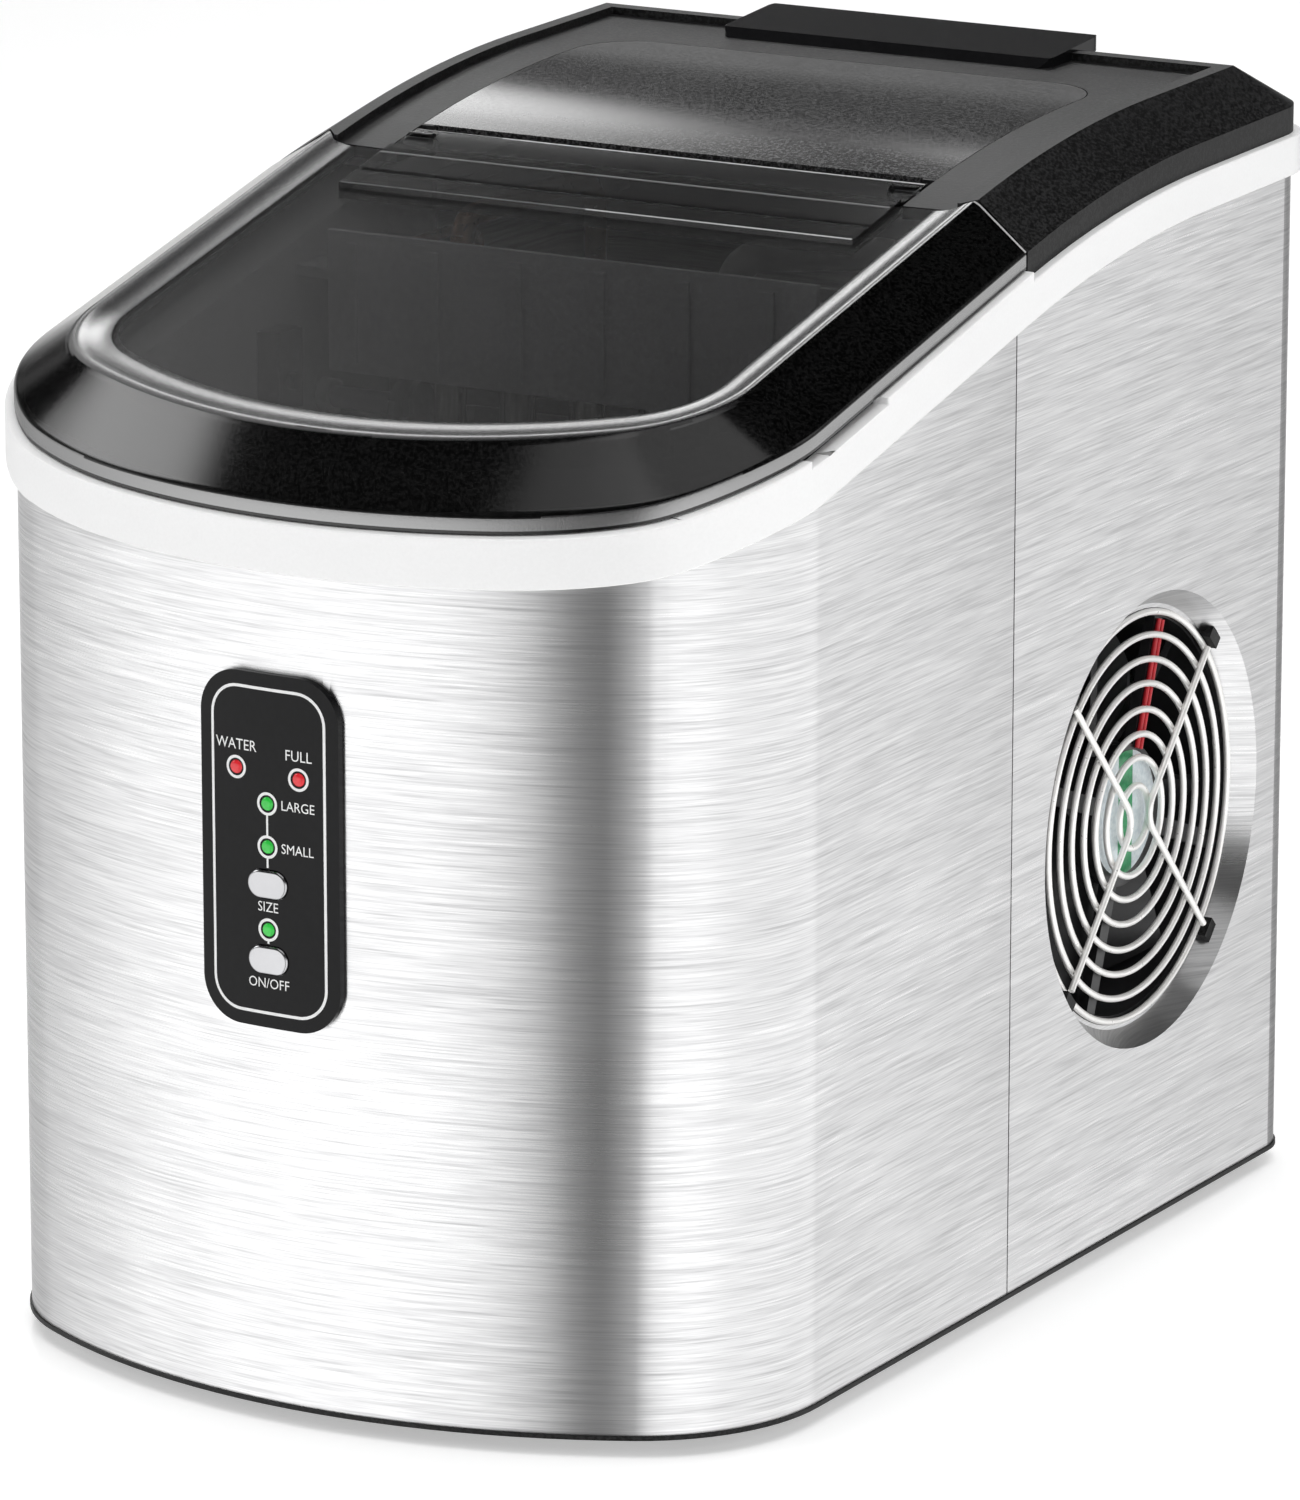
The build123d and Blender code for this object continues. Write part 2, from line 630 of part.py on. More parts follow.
def evaporator_manifold():
    """Refrigerant header that carries the nine freezing fingers."""
    z = works_z + 14.0
    rail = rod_x(-52, 52, works_y - 8, z, 5.0) + rod_x(-52, 52, works_y + 8, z, 5.0)
    rail += rod_y(52, works_y - 8, works_y + 8, z, 5.0)
    return rail + rod_z(-50, works_y - 8, z, z + 22, 3.2) + rod_z(-50, works_y + 8, z, z + 22, 3.2)


def freezing_fingers():
    z1 = works_z + 12.0
    z0 = works_z - finger_tip + finger_radius
    fingers = []
    for index in range(5):
        fingers.append((-44 + 22 * index, works_y - 8))
    for index in range(4):
        fingers.append((-33 + 22 * index, works_y + 8))
    solids = [rod_z(x, y, z0, z1, finger_radius) + Pos(x, y, z0) * Sphere(finger_radius)
              for x, y in fingers]
    return Compound(children=solids)


def evaporator_bracket():
    """Bridge over the tray that the header hangs from."""
    z = works_z + 36.0
    wall = half_width - tub_inset - tub_wall
    bridge = block(-wall, wall, works_y - 14, works_y + 14, z, z + 3)
    for x in (-30, 30):
        bridge += block(x - 6, x + 6, works_y - 12, works_y + 6, works_z + 19.0, z)
    bridge -= rod_z(40, works_y, z - 1, z + 4, 3.0)
    return bridge - rod_z(-50, works_y - 8, z - 1, z + 4, 3.6) - rod_z(-50, works_y + 8, z - 1, z + 4, 3.6)


def evaporator_shield():
    """Ribbed splash plate in front of the evaporator, hung from the bracket."""
    y = works_y - 17.0
    shield = block(-shield_half, shield_half, y - 2, y, shield_low, shield_high)
    shield += block(-40, 40, y, y + 3.0, works_z + 36.0, works_z + 39.0)
    for index in range(6):
        x = -68 + 26 * index
        shield += block(x - 1.5, x + 1.5, y - 3.2, y - 2, shield_low + 3, shield_high - 3)
    return shield


def water_spout():
    """Hose nozzle that fills the tray, clipped to the bridge."""
    z = works_z + 36.0
    spout = rod_z(40, works_y, works_z + 20, z + 7.5, 3.0) + rod_z(40, works_y, z + 3, z + 4.5, 7.0)
    return spout - rod_z(40, works_y, works_z + 19, z + 11, 1.8)


def infrared_sensors():
    """Pair of sensor pods that see a full basket."""
    pods = []
    for side in (-1, 1):
        x0, x1 = sorted((side * 82.5, side * 89.5))
        pod = block(x0, x1, -48, -36, 238, 260)
        pods.append(pod + rod_x(min(side * 80.5, side * 83), max(side * 80.5, side * 83), -42, 246, 2.5))
    return Compound(children=pods)


def water_pump():
    """Submersible pump in the sump; the volute is open round the impeller."""
    x, y, z = pump_x, pump_y, tub_floor + tub_wall
    body = rod_z(x, y, z, z + 34, 17.0) - rod_z(x, y, z + 3, z + 13, 14.0)
    body += rod_z(x + 12, y, z + 30, z + 48, 3.0) - rod_z(x + 12, y, z + 34, z + 49, 1.8)
    return body - block(x - 3, x + 3, y - 20, y - 10, z + 5, z + 11)


def pump_impeller():
    x, y, z = pump_x, pump_y, tub_floor + tub_wall
    wheel = rod_z(x, y, z + 3.6, z + 5.6, 12.5) + rod_z(x, y, z + 3.6, z + 12.4, 4.0)
    for index in range(6):
        vane = block(3, 12, -0.8, 0.8, z + 5.6, z + 11.5)
        wheel += Pos(x, y, 0) * Rot(0, 0, 60 * index) * vane
    return wheel


def water_hose():
    """Silicone hose from the pump up the right wall to the spout."""
    low = tub_floor + tub_wall + 36
    points = [(46, 0, low), (46, 0, 130), (80, 14, 146), (80, 14, 288), (40, works_y, 288)]
    points += [(40, works_y, works_z + 42)]
    return tube(points, [9.0, 12.0, 10.0, 8.0], 4.4, 3.02)


# ---------------------------------------------------------------- refrigeration
def compressor():
    body = rod_z(compressor_x, compressor_y, compressor_foot_z, compressor_top, compressor_radius)
    body = fillet(body.edges(), 18.0)
    body += rod_z(compressor_x, compressor_y, 80, 84, compressor_radius + 1.5)
    body -= rod_z(compressor_x, compressor_y, 40, 130, 40)
    feet = block(-62, 62, -34, -24, 22, 25) + block(-62, 62, 24, 34, 22, 25)
    body += Pos(compressor_x, compressor_y, 0) * feet
    for x, y in compressor_mounts():
        body -= rod_z(x, y, 20, 30, 4.1)
    return body


def compressor_mounts():
    return [(compressor_x + sx * 56, compressor_y + sy * 29) for sx in (-1, 1) for sy in (-1, 1)]


def compressor_grommets():
    rubbers = []
    for x, y in compressor_mounts():
        rubbers.append(rod_z(x, y, pan_top - 3, 22, 7.0) + rod_z(x, y, 22, 27, 4.0))
    return Compound(children=rubbers)


def start_relay():
    return block(compressor_x - 14, compressor_x + 14, 50, compressor_y - compressor_radius, 96, 124)


def condenser_fins():
    fins = []
    rows = condenser_rows()
    for index in range(30):
        y = fan_y - 45 + 3.1 * index
        fin = block(condenser_x0, condenser_x1, y, y + 0.6, fan_z - 54, fan_z + 54)
        for z in rows:
            fin -= rod_y(61.0, y - 1, y + 2, z, 3.2)
        fins.append(fin)
    return Compound(children=fins)


def condenser_rows():
    return [fan_z - 45 + 18 * index for index in range(6)]


def condenser_tube():
    """Serpentine pipe through the fins, down to the drier and up to the hot gas line."""
    rows = condenser_rows()
    y0, y1 = fan_y - 57.5, fan_y + 57.5
    points = [(drier_x, drier_y, drier_low), (drier_x, drier_y, 40), (61.0, y0, 40)]
    for index, z in enumerate(rows):
        ends = (y0, y1) if index % 2 == 0 else (y1, y0)
        points += [(61.0, ends[0], z), (61.0, ends[1], z)]
    points.append((61.0, y0, 190))
    return tube(points, 8.5, 3.2)


def condenser_ends():
    """Two side plates that hold the condenser to the fan."""
    plates = []
    for y0 in (fan_y - 47.4, fan_y + 46.5):
        plate = block(condenser_x0, fan_back_x, y0, y0 + 1.4, fan_z - 56, fan_z + 56)
        for z in condenser_rows():
            plate -= rod_y(61.0, y0 - 1, y0 + 3, z, 3.2)
        plates.append(plate)
    return Compound(children=plates)


def filter_drier():
    return fillet(rod_z(drier_x, drier_y, drier_low, drier_high, 8.0).edges(), 4.0)


def discharge_tube():
    """Hot gas line from the compressor to the condenser."""
    points = [(-10, 132, compressor_top), (-10, 132, 206), (61, 132, 206), (61, fan_y - 57.5, 206)]
    points.append((61, fan_y - 57.5, 190))
    return tube(points, [12.0, 12.0, 10.0], 3.0)


def suction_tube():
    """Return line from the header to the compressor."""
    top = works_z + 36.0
    points = [(-50, works_y + 8, top), (-50, works_y + 8, top + 16), (-50, 66, top + 16)]
    points += [(-50, 66, 190), (-50, 100, 176), (-50, 100, compressor_top)]
    return tube(points, [7.0, 10.0, 12.0, 10.0], 3.2)


def liquid_tube():
    """Thin expansion line from the drier to the header."""
    top = works_z + 36.0
    points = [(drier_x, drier_y, drier_high), (drier_x, drier_y, 150), (-70, drier_y, 150)]
    points += [(-70, drier_y, top + 6), (-70, works_y - 8, top + 6), (-50, works_y - 8, top + 6)]
    points.append((-50, works_y - 8, top))
    return tube(points, [8.0, 8.0, 8.0, 6.0, 3.0], 1.5)


def hot_gas_valve():
    """Solenoid valve that releases the cubes with hot gas."""
    return rod_z(10, 132, 209, 242, 10.0) + block(-2, 22, 120, 144, 214, 236)


# ---------------------------------------------------------------- electronics
def board_bracket():
    bracket = block(-57, 57, 30, 32, 196, 250)
    for x in (-57, 45):
        bracket += block(x, x + 12, tub_rear, 30, 240, 250)
    return bracket


def control_board():
    board = block(-54, 54, 34.5, 36.1, 200, 246)
    for x in (-50, 50):
        for z in (204, 242):
            board += rod_y(x, 32, 34.5, z, 2.5)
    board += block(-44, -20, 36.1, 54, 206, 232)
    board += block(0, 16, 36.1, 48, 206, 222) + block(24, 42, 36.1, 50, 208, 230)
    return board


def cord_gland():
    """Bushing in the back wall where the mains lead enters."""
    gland = rod_y(gland_x, half_length, half_length + 2.6, gland_z, 10.5)
    gland += rod_y(gland_x, half_length - 8, half_length, gland_z, 8.2)
    return gland - rod_y(gland_x, 150, 190, gland_z, 3.7)


def shell_screws():
    """Cross-head screws along the back of the rear shell."""
    screws = []
    for x, z in screw_places:
        head = rod_y(x, half_length, half_length + 1.8, z, 3.4)
        head = fillet(head.faces().sort_by(Axis.Y)[-1].edges(), 0.9)
        head += rod_y(x, half_length - 7, half_length, z, screw_radius)
        for turn in (0, 90):
            head -= Pos(x, half_length + 1.8, z) * Rot(0, turn + 45, 0) * Box(4.0, 1.6, 0.8)
        screws.append(head)
    return Compound(children=screws)


nodes = {
    "front_shell": front_shell,
    "rear_shell": rear_shell,
    "rear_vent": rear_vent,
    "trim_band": trim_band,
    "base_pan": base_pan,
    "rubber_feet": rubber_feet,
    "drain_cap": drain_cap,
    "lid_frame": lid_frame,
    "lid_window": lid_window,
    "lid_hinge_bar": lid_hinge_bar,
    "lid_hinge_pins": lid_hinge_pins,
    "top_cover": top_cover,
    "cover_panel": cover_panel,
    "badge_bar": badge_bar,
    "control_bezel": control_bezel,
    "cube_size_button": lambda: button(size_button_z),
    "power_button": lambda: button(power_button_z),
    "warning_lamps": lambda: lamps(warning_lamps),
    "status_lamps": lambda: lamps(status_lamps),
    "display_board": display_board,
    "tact_switches": tact_switches,
    "fan_guard": fan_guard,
    "guard_clips": guard_clips,
    "fan_frame": fan_frame,
    "fan_axle": fan_axle,
    "fan_rotor": fan_rotor,
    "fan_lead": fan_lead,
    "inner_tub": inner_tub,
    "tub_insulation": tub_insulation,
    "ice_basket": ice_basket,
    "water_tray": water_tray,
    "tray_shafts": tray_shafts,
    "shaft_bushes": shaft_bushes,
    "tray_motor": tray_motor,
    "ice_shovel": ice_shovel,
    "ice_chute": ice_chute,
    "evaporator_manifold": evaporator_manifold,
    "freezing_fingers": freezing_fingers,
    "evaporator_bracket": evaporator_bracket,
    "evaporator_shield": evaporator_shield,
    "water_spout": water_spout,
    "infrared_sensors": infrared_sensors,
    "water_pump": water_pump,
    "pump_impeller": pump_impeller,
    "water_hose": water_hose,
    "compressor": compressor,
    "compressor_grommets": compressor_grommets,
    "start_relay": start_relay,
    "condenser_fins": condenser_fins,
    "condenser_tube": condenser_tube,
    "condenser_ends": condenser_ends,
    "filter_drier": filter_drier,
    "discharge_tube": discharge_tube,
    "suction_tube": suction_tube,
    "liquid_tube": liquid_tube,
    "hot_gas_valve": hot_gas_valve,
    "board_bracket": board_bracket,
    "control_board": control_board,
    "cord_gland": cord_gland,
    "shell_screws": shell_screws,
}

for node, make in nodes.items():
    write(node, make())
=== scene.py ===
import json
import math

import bmesh
import bpy
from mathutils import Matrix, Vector


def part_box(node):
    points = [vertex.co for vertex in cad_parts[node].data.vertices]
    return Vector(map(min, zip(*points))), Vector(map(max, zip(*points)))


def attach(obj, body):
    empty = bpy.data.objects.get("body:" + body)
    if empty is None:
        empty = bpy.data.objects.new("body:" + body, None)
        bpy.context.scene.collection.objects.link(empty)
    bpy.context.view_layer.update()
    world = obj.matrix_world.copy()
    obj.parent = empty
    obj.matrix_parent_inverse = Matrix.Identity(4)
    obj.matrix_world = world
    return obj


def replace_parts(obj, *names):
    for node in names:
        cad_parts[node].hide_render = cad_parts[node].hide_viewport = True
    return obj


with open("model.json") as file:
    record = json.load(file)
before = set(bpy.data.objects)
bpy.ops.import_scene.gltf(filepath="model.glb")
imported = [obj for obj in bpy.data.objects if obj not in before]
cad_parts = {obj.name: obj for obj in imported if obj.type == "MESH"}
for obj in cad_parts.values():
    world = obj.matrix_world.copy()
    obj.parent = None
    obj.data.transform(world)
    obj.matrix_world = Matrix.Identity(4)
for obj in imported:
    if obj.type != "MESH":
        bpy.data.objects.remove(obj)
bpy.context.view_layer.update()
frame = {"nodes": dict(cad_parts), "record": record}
nodes = frame["nodes"]
MM = 0.001
# Faces of a CAD node closer than this are joined, in metres.
WELD_GAP = 0.00001


# ---------------------------------------------------------------- material node trees
class Shade:
    """A material's node tree, built one node at a time."""

    def __init__(self, name):
        self.material = bpy.data.materials.new(name)
        self.material.use_nodes = True
        self.tree = self.material.node_tree
        self.shader = self.tree.nodes["Principled BSDF"]

    def node(self, kind, inputs=None, **settings):
        made = self.tree.nodes.new(kind)
        for key, value in settings.items():
            setattr(made, key, value)
        for key, value in (inputs or {}).items():
            self.feed(made.inputs[key], value)
        return made

    def feed(self, socket, value):
        if isinstance(value, bpy.types.NodeSocket):
            self.tree.links.new(value, socket)
        else:
            socket.default_value = value

    def set(self, **values):
        for key, value in values.items():
            self.feed(self.shader.inputs[key.replace("_", " ")], value)

    def place(self, scale=(1, 1, 1)):
        where = self.node("ShaderNodeTexCoord").outputs["Object"]
        return self.node("ShaderNodeMapping", {"Vector": where, "Scale": scale}).outputs["Vector"]

    def noise(self, vector, scale, detail=4.0, roughness=0.5):
        feed = {"Vector": vector, "Scale": scale, "Detail": detail, "Roughness": roughness}
        return self.node("ShaderNodeTexNoise", feed).outputs["Fac"]

    def ramp(self, fac, stops):
        made = self.node("ShaderNodeValToRGB", {"Fac": fac})
        band = made.color_ramp
        while len(band.elements) < len(stops):
            band.elements.new(0.5)
        for element, (at, colour) in zip(band.elements, stops):
            element.position = at
            level = colour if isinstance(colour, tuple) else (colour, colour, colour)
            element.color = (*level, 1.0)
        return made.outputs["Color"]

    def span(self, value, low, high, out_low, out_high):
        feed = {"Value": value, "From Min": low, "From Max": high, "To Min": out_low, "To Max": out_high}
        return self.node("ShaderNodeMapRange", feed).outputs["Result"]

    def bump(self, height, distance, strength):
        feed = {"Height": height, "Distance": distance, "Strength": strength}
        return self.node("ShaderNodeBump", feed).outputs["Normal"]

    def math(self, kind, a, b):
        made = self.node("ShaderNodeMath", operation=kind)
        self.feed(made.inputs[0], a)
        self.feed(made.inputs[1], b)
        return made.outputs[0]


def paint(node, material):
    """Give a whole CAD node one material."""
    mesh = nodes[node].data
    if not mesh.materials:
        mesh.materials.append(material)
    for index in range(len(mesh.materials)):
        mesh.materials[index] = material


# ---------------------------------------------------------------- materials
# The specks of the coarse black plastics: how many to the metre, and where in the noise they start and end.
SPECK_GRAIN = 950.0
SPECK_DARK = 0.46
SPECK_LIGHT = 0.56


def brushed_steel():
    """Stainless sheet brushed along the horizontal."""
    s = Shade("brushed_steel")
    fine = s.noise(s.place((45, 45, 2600)), 1.0, 3.0, 0.6)
    long_streaks = s.noise(s.place((22, 22, 900)), 1.0, 4.0, 0.65)
    cloudy = s.noise(s.place((3, 3, 14)), 1.0, 2.0)
    mixed = s.math("ADD", s.math("MULTIPLY", fine, 0.6), s.math("MULTIPLY", long_streaks, 0.4))
    colour = s.ramp(mixed, [(0.30, (0.44, 0.44, 0.445)), (0.5, (0.62, 0.62, 0.625)),
                            (0.70, (0.77, 0.77, 0.77))])
    rough = s.math("ADD", s.span(mixed, 0.3, 0.7, 0.34, 0.26), s.span(cloudy, 0.3, 0.7, -0.03, 0.03))
    s.set(Base_Color=colour, Metallic=1.0, Roughness=rough, Normal=s.bump(mixed, 0.00003, 0.25))
    s.set(Anisotropic=0.9, Anisotropic_Rotation=0.25)
    tangent = s.node("ShaderNodeTangent", direction_type="RADIAL", axis="Z")
    s.set(Tangent=tangent.outputs["Tangent"])
    return s.material


def plastic(name, colour, roughness, grain=900.0, depth=0.00004, spread=0.12, ior=1.5):
    """Moulded plastic with a fine spark-eroded grain and a slow colour drift."""
    s = Shade(name)
    where = s.place()
    fine = s.noise(where, grain, 2.0)
    slow = s.noise(where, 18.0, 2.0)
    dark = tuple(c * (1 - spread) for c in colour)
    light = tuple(min(c * (1 + spread), 1.0) for c in colour)
    mixed = s.math("ADD", s.math("MULTIPLY", fine, 0.5), s.math("MULTIPLY", slow, 0.5))
    s.set(Base_Color=s.ramp(mixed, [(0.35, dark), (0.65, light)]))
    s.set(Roughness=s.span(fine, 0.3, 0.7, roughness * 0.88, min(roughness * 1.12, 1.0)))
    s.set(Normal=s.bump(fine, depth, 0.5), IOR=ior)
    return s.material


def grainy(name, colour, roughness, depth, ior):
    """Coarse spark-eroded plastic whose grain shows as light and dark specks."""
    s = Shade(name)
    where = s.place()
    fine = s.noise(where, SPECK_GRAIN, 2.0, 0.8)
    slow = s.noise(where, 14.0, 2.0)
    dark = tuple(c * 0.35 for c in colour)
    light = tuple(c * 1.85 for c in colour)
    mixed = s.math("ADD", s.math("MULTIPLY", fine, 0.85), s.math("MULTIPLY", slow, 0.15))
    s.set(Base_Color=s.ramp(mixed, [(SPECK_DARK, dark), (SPECK_LIGHT, light)]), IOR=ior)
    s.set(Roughness=s.span(fine, 0.3, 0.7, roughness * 0.85, roughness * 1.15))
    s.set(Normal=s.bump(fine, depth, 0.6))
    return s.material


def metal(name, colour, roughness, grain=700.0, depth=0.00003, metallic=1.0):
    """Plated or drawn metal with a fine grain and a slow tarnish."""
    s = Shade(name)
    where = s.place()
    fine = s.noise(where, grain, 3.0)
    slow = s.noise(where, 30.0, 3.0)
    dark = tuple(c * 0.86 for c in colour)
    s.set(Base_Color=s.ramp(slow, [(0.3, dark), (0.7, colour)]), Metallic=metallic)
    s.set(Roughness=s.span(fine, 0.3, 0.7, roughness * 0.85, roughness * 1.2))
    s.set(Normal=s.bump(fine, depth, 0.4))
    return s.material


def smoked(name, alpha, veil, roughness):
    """Smoke-tinted clear moulding; alpha is how much one face stops, veil how bright its specks are."""
    s = Shade(name)
    where = s.place()
    fine = s.noise(where, SPECK_GRAIN, 2.0, 0.8)
    slow = s.noise(where, 9.0, 2.0)
    mixed = s.math("ADD", s.math("MULTIPLY", fine, 0.85), s.math("MULTIPLY", slow, 0.15))
    s.set(Base_Color=s.ramp(mixed, [(SPECK_DARK, 0.0), (SPECK_LIGHT, veil * 2.0)]))
    s.set(Roughness=s.span(fine, 0.3, 0.7, roughness * 0.8, roughness * 1.25), Alpha=alpha, IOR=1.55)
    s.set(Normal=s.bump(fine, 0.00002, 0.3))
    return s.material


steel_shell = brushed_steel()
white_trim = plastic("white_trim", (0.90, 0.90, 0.90), 0.32, 1200.0, 0.00001, 0.02)
black_matte = grainy("black_matte", (0.009, 0.009, 0.0092), 0.42, 0.00007, 1.27)
black_panel = grainy("black_panel", (0.031, 0.031, 0.0315), 0.14, 0.000006, 1.30)
black_gloss = plastic("black_gloss", (0.006, 0.006, 0.0065), 0.13, 600.0, 0.00001, 0.2, 1.22)
smoked_clear = smoked("smoked_clear", 0.40, 0.013, 0.12)
smoked_bar = smoked("smoked_bar", 0.60, 0.003, 0.12)
smoked_frame = smoked("smoked_frame", 0.90, 0.0025, 0.12)
satin_edge = plastic("satin_edge", (0.006, 0.006, 0.0065), 0.24, 2200.0, 0.00006, 0.3, 3.0)
bead_edge = plastic("bead_edge", (0.006, 0.006, 0.0065), 0.24, 2200.0, 0.00004, 0.3, 1.75)
grey_liner = plastic("grey_liner", (0.20, 0.20, 0.205), 0.40, 900.0, 0.00003, 0.15)
pale_plastic = plastic("pale_plastic", (0.34, 0.34, 0.34), 0.38, 900.0, 0.00003, 0.08)
fan_black = plastic("fan_black", (0.014, 0.014, 0.015), 0.35, 900.0, 0.00003, 0.3)
rubber = plastic("rubber", (0.02, 0.02, 0.02), 0.7, 700.0, 0.00006, 0.2)
silicone = plastic("silicone", (0.16, 0.16, 0.16), 0.45, 500.0, 0.00003, 0.1)
chrome_key = metal("chrome_key", (0.42, 0.42, 0.43), 0.20)
guard_chrome = metal("guard_chrome", (0.95, 0.94, 0.92), 0.32, 700.0, 0.00003, 0.45)
plated_copper = metal("plated_copper", (0.42, 0.27, 0.20), 0.30)
nickel = metal("nickel", (0.66, 0.64, 0.60), 0.22)
fin_aluminium = metal("fin_aluminium", (0.80, 0.81, 0.82), 0.34)
zinc_steel = metal("zinc_steel", (0.60, 0.61, 0.63), 0.36)
compressor_black = plastic("compressor_black", (0.018, 0.018, 0.02), 0.28, 300.0, 0.00008, 0.2)
board_green = plastic("board_green", (0.02, 0.14, 0.05), 0.35, 1500.0, 0.00003, 0.3)
lamp_red = plastic("lamp_red", (0.75, 0.02, 0.03), 0.12, 900.0, 0.00001, 0.15)
lamp_green = plastic("lamp_green", (0.03, 0.55, 0.06), 0.12, 900.0, 0.00001, 0.15)
foam_white = plastic("foam_white", (0.78, 0.77, 0.72), 0.85, 260.0, 0.0004, 0.06)
lead_red = plastic("lead_red", (0.55, 0.02, 0.03), 0.4, 900.0, 0.00002, 0.1)

made_slots = dict(
    steel_shell=steel_shell, white_trim=white_trim, black_gloss=black_gloss, black_matte=black_matte,
    smoked_clear=smoked_clear, grey_liner=grey_liner, pale_plastic=pale_plastic, fan_black=fan_black,
    rubber=rubber, silicone=silicone, chrome_key=chrome_key, guard_chrome=guard_chrome,
    plated_copper=plated_copper, nickel=nickel, fin_aluminium=fin_aluminium, zinc_steel=zinc_steel,
    compressor_black=compressor_black, board_green=board_green, lamp_red=lamp_red,
    lamp_green=lamp_green, foam_white=foam_white, lead_red=lead_red)

for part in frame["record"]["subparts"]:
    if part["node"] in nodes:
        paint(part["node"], made_slots[part["material_slot"]])
paint("lid_frame", smoked_frame)
paint("lid_hinge_bar", smoked_bar)
paint("cover_panel", black_panel)


# ---------------------------------------------------------------- mesh helpers
def build(name, verts, faces, material, body, crease=35.0):
    """A mesh piece in millimetres, smooth except along its sharp edges, riding on a body."""
    mesh = bpy.data.meshes.new(name)
    mesh.from_pydata([Vector(v) * MM for v in verts], [], faces)
    form = bmesh.new()
    form.from_mesh(mesh)
    bmesh.ops.remove_doubles(form, verts=form.verts, dist=1e-6)
    bmesh.ops.recalc_face_normals(form, faces=form.faces)
    for face in form.faces:
        face.smooth = True
    for edge in form.edges:
        if len(edge.link_faces) == 2:
            edge.smooth = edge.calc_face_angle() < math.radians(crease)
    form.to_mesh(mesh)
    form.free()
    made = bpy.data.objects.new(name, mesh)
    bpy.context.scene.collection.objects.link(made)
    mesh.materials.append(material)
    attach(made, body)
    return made


def skin(loops, closed_profile):
    """Quads between profile loops; loops[k][j] is profile point k at station j."""
    count = len(loops[0])
    verts = [point for loop in loops for point in loop]
    faces = []
    rows = len(loops) if closed_profile else len(loops) - 1
    for k in range(rows):
        low = k * count
        high = ((k + 1) % len(loops)) * count
        for j in range(count - 1):
            faces.append((low + j, low + j + 1, high + j + 1, high + j))
    if closed_profile:
        faces.append([k * count for k in range(len(loops))])
        faces.append([k * count + count - 1 for k in reversed(range(len(loops)))])
    return verts, faces


def side_line(points, radii):
    """Height along a side-view line of straight runs joined by arcs."""
    arcs = []
    for (a, b, c), radius in zip(zip(points, points[1:], points[2:]), radii):
        before = (Vector(b) - Vector(a)).normalized()
        after = (Vector(c) - Vector(b)).normalized()
        bend = before.angle(after)
        reach = radius * math.tan(bend / 2)
        side = 1.0 if before.x * after.y - before.y * after.x > 0 else -1.0
        start = Vector(b) - before * reach
        end = Vector(b) + after * reach
        centre = start + Vector((-before.y, before.x)) * radius * side
        arcs.append((start.x, end.x, centre, radius, side))

    def height(y):
        for start, end, centre, radius, side in arcs:
            if start <= y <= end:
                return centre.y - side * math.sqrt(radius ** 2 - (y - centre.x) ** 2)
        for (y0, z0), (y1, z1) in zip(points, points[1:]):
            if y <= y1:
                return z0 + (z1 - z0) * (y - y0) / (y1 - y0)
        return points[-1][1]

    return height


# ---------------------------------------------------------------- the outline of the cabinet, in millimetres
LO, HI = (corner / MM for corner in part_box("front_shell"))
HALF_WIDTH = HI.x
HALF_LENGTH = -LO.y
FRONT_RADIUS = 188.0
CORNER_RADIUS = 53.2
base_line = side_line([(-200, 226.9), (53.4, 286.95), (200, 289.9)], [497.0])
band_line = side_line([(-200, 227.7), (-158, 232.1), (-134, 242.5), (53.4, 286.95), (200, 289.9)],
                      [70.0, 150.0, 497.0])
# Height of the lid's ridge above base_line; the other heights are above band_line.
RIDGE = 29.1
SHOULDER = 18.5
SKIRT_FOOT = 13.8
GROOVE = 14.6
# How far the lid stands out of the steel, and how far in from the sides and the front its ridge runs.
LID_OUT = -0.5
RIDGE_SIDE = 17.0
RIDGE_FRONT = 13.0
# The ears of the cover start and stop to step in these far from the middle.
EAR_IN = 98.0
EAR_OUT = 101.5


def front_path(side, front, end, bow_steps=36, corner_steps=20, side_steps=24):
    """Points round the front, from the right seam to the left; end is a function of x."""
    rf = FRONT_RADIUS - front
    rc = CORNER_RADIUS - (side + front) / 2
    width = HALF_WIDTH - side
    bow_y = front - HALF_LENGTH + rf
    kx = (width - rc) / (rf - rc)
    turn = math.asin(kx)
    corner_y = bow_y - (rf - rc) * math.cos(turn)
    half = []
    for step in range(side_steps):
        half.append((width, end(width) + (corner_y - end(width)) * step / side_steps))
    for step in range(corner_steps):
        angle = math.pi / 2 + (turn - math.pi / 2) * step / corner_steps
        half.append((width - rc + rc * math.sin(angle), corner_y - rc * math.cos(angle)))
    for step in range(bow_steps):
        angle = turn * (1 - step / bow_steps)
        half.append((rf * math.sin(angle), bow_y - rf * math.cos(angle)))
    return half + [(0.0, bow_y - rf)] + [(-x, y) for x, y in reversed(half)]


def lid_end(x):
    """Where the lid ends at the seam: straight between the ears, a step back, then swept forward."""
    if x < EAR_IN:
        return 4.4
    if x < EAR_OUT:
        return 5.0 + (x - EAR_IN) / (EAR_OUT - EAR_IN) * 3.4
    return 8.4 - (x - EAR_OUT) / 17.0 * 4.0


